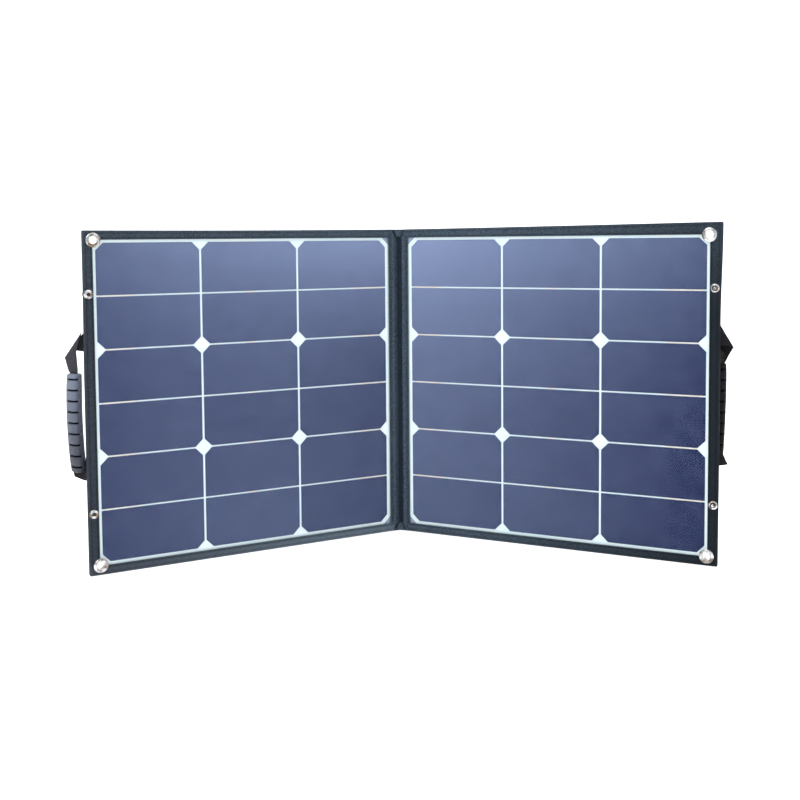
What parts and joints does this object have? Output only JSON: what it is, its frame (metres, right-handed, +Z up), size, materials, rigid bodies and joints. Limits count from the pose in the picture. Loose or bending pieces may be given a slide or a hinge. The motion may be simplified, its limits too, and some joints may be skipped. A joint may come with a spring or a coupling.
{
  "type": "folding solar suitcase kit",
  "caption": "Folding solar suitcase: hinged square photovoltaic panels in a fabric cover, with carrying handles, eyelets, snaps, rear stand flaps and a zipped pocket.",
  "frame": {"origin": "bottom centre of the open kit's bounding box", "axes": "+X to the right along the open kit, +Y towards its back, +Z up"},
  "size_m": [0.7926, 0.1864, 0.4086],
  "materials": {
    "woven_fabric": "fine woven polyester, dark slate",
    "edge_tape": "folded polyester tape",
    "strap_webbing": "flat woven webbing",
    "hook_and_loop": "hook and loop pile",
    "clear_film": "clear satin film",
    "silicon_cell": "dark blue-violet cells under film",
    "white_backsheet": "white sheet",
    "stiffener_plastic": "rigid board",
    "nickel": "plated nickel, satin",
    "rubber_grip": "moulded grip with cross grooves",
    "gasket_rubber": "soft seal",
    "black_plastic": "moulded black plastic",
    "circuit_board": "green board",
    "tinned_copper": "tinned copper ribbon"
  },
  "bodies": {
    "right_panel": {"right_border_fabric": "woven_fabric", "right_front_film": "clear_film", "right_backsheet": "white_backsheet", "right_stiffener_board": "stiffener_plastic", "right_back_cover": "woven_fabric", "right_edge_binding": "edge_tape", "right_cell_string_1": "silicon_cell", "right_cell_string_2": "silicon_cell", "right_cell_string_3": "silicon_cell", "right_grommet_top": "nickel", "right_snap_stud_top": "nickel", "right_grommet_bottom": "nickel", "right_snap_stud_bottom": "nickel", "right_stand_hinge_tape": "edge_tape", "right_stand_stay_strap": "strap_webbing", "right_stand_loop_patch": "hook_and_loop", "pocket_shell": "woven_fabric", "zipper_chain": "black_plastic", "junction_box_base": "black_plastic", "junction_box_gasket": "gasket_rubber", "junction_box_lid": "black_plastic", "diode_board": "circuit_board", "output_gland": "black_plastic", "output_gland_nut": "black_plastic", "junction_box_screw_1": "nickel", "junction_box_screw_2": "nickel", "junction_box_screw_3": "nickel", "junction_box_screw_4": "nickel", "spine_front_gusset": "edge_tape", "spine_back_cover": "woven_fabric", "spine_link_ribbon": "tinned_copper"},
    "left_panel": {"left_border_fabric": "woven_fabric", "left_front_film": "clear_film", "left_backsheet": "white_backsheet", "left_stiffener_board": "stiffener_plastic", "left_back_cover": "woven_fabric", "left_edge_binding": "edge_tape", "left_cell_string_1": "silicon_cell", "left_cell_string_2": "silicon_cell", "left_cell_string_3": "silicon_cell", "left_grommet_top": "nickel", "left_snap_socket_top": "nickel", "left_grommet_bottom": "nickel", "left_snap_socket_bottom": "nickel", "left_stand_hinge_tape": "edge_tape", "left_stand_stay_strap": "strap_webbing", "left_stand_loop_patch": "hook_and_loop"},
    "left_handle": {"left_handle_webbing": "strap_webbing", "left_handle_grip": "rubber_grip"},
    "right_handle": {"right_handle_webbing": "strap_webbing", "right_handle_grip": "rubber_grip"},
    "left_stand": {"left_stand_flap": "woven_fabric", "left_stand_hook_patch": "hook_and_loop"},
    "right_stand": {"right_stand_flap": "woven_fabric", "right_stand_hook_patch": "hook_and_loop"},
    "zip_slider": {"zipper_slider": "nickel"},
    "zip_pull": {"zipper_pull": "nickel"}
  },
  "joints": [
    {"name": "fold", "type": "hinge", "parent": "right_panel", "child": "left_panel", "pos_m": [0.00696, 0.08227, 0.2043], "axis": [0, 0, 1], "range_deg": [-50.6, 129.3], "deforming": ["spine_front_gusset", "spine_back_cover", "spine_link_ribbon"]},
    {"name": "left_handle_swing", "type": "hinge", "parent": "left_panel", "child": "left_handle", "pos_m": [-0.37127, -0.08514, 0.2043], "axis": [0, 0, -1], "range_deg": [-68, 57]},
    {"name": "right_handle_swing", "type": "hinge", "parent": "right_panel", "child": "right_handle", "pos_m": [0.3852, -0.08514, 0.2043], "axis": [0, 0, 1], "range_deg": [-104, 21]},
    {"name": "left_stand_hinge", "type": "hinge", "parent": "left_panel", "child": "left_stand", "pos_m": [-0.18523, 0.00447, 0.1963], "axis": [0.9039, 0.4278, 0], "range_deg": [0, 50], "deforming": ["left_stand_stay_strap"]},
    {"name": "right_stand_hinge", "type": "hinge", "parent": "right_panel", "child": "right_stand", "pos_m": [0.19915, 0.00447, 0.1963], "axis": [0.9039, -0.4278, 0], "range_deg": [0, 50], "deforming": ["right_stand_stay_strap"]},
    {"name": "zip_slide", "type": "slide", "parent": "right_panel", "child": "zip_slider", "axis": [-0.9039, 0.4278, 0], "range_m": [0, 0.184]},
    {"name": "zip_pull_swing", "type": "hinge", "parent": "zip_slider", "child": "zip_pull", "pos_m": [0.27633, 0.0039, 0.3443], "axis": [0.9039, -0.4278, 0], "range_deg": [0, 160]}
  ]
}
